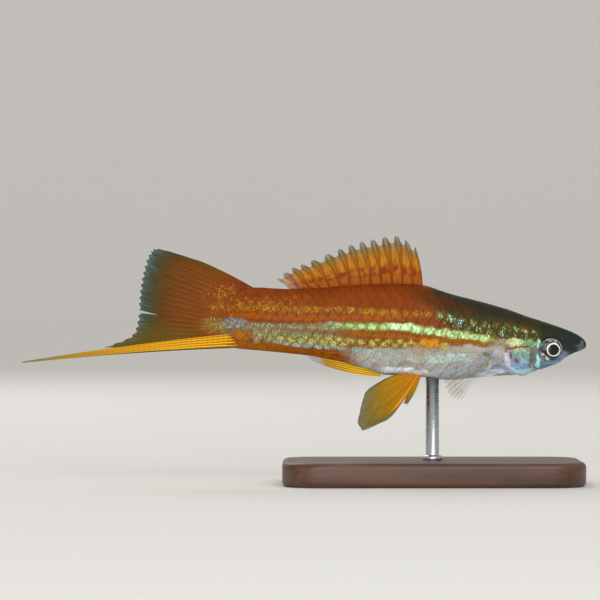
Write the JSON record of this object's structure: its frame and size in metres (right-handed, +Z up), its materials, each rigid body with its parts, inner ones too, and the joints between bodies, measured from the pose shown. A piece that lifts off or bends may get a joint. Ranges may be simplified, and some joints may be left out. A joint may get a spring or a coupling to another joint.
{
  "type": "male swordtail fish on a display stand",
  "caption": "Slender fish with a deep body, tall back fin, fan tail with a long lower sword and spread belly fins, held level by a short rod on a flat base.",
  "frame": {"origin": "on the surface that the base stands on, under the middle of the whole length from the lips to the sword's tip", "axes": "+X towards the snout along the fish, -Y towards the fish's right side, +Z up"},
  "size_m": [0.094, 0.028, 0.0415],
  "materials": {
    "dark_skin": "wet, olive-black fish skin",
    "silver_skin": "wet, silvery blue fish skin",
    "rust_skin": "wet, rust-orange fish skin with bright scales",
    "eye": "clear, wet eye over a silver and gold iris",
    "orange_fin": "thin amber fin skin with brown rays",
    "gold_fin": "golden fin rays",
    "clear_fin": "nearly clear fin skin with thin olive rays",
    "walnut": "oiled walnut",
    "steel": "brushed steel"
  },
  "bodies": {
    "root": {"head": "dark_skin", "lower_jaw": "silver_skin", "gill_cover_right": "silver_skin", "gill_cover_left": "silver_skin", "trunk": "rust_skin", "tail_stalk": "rust_skin", "eye_right": "eye", "eye_left": "eye", "dorsal_fin": "orange_fin", "tail_fin": "orange_fin", "pelvic_fin_right": "orange_fin", "pelvic_fin_left": "orange_fin", "sword": "gold_fin", "anal_fin": "gold_fin", "pectoral_fin_right": "clear_fin", "pectoral_fin_left": "clear_fin", "stand_base": "walnut", "stand_rod": "steel"}
  },
  "joints": []
}
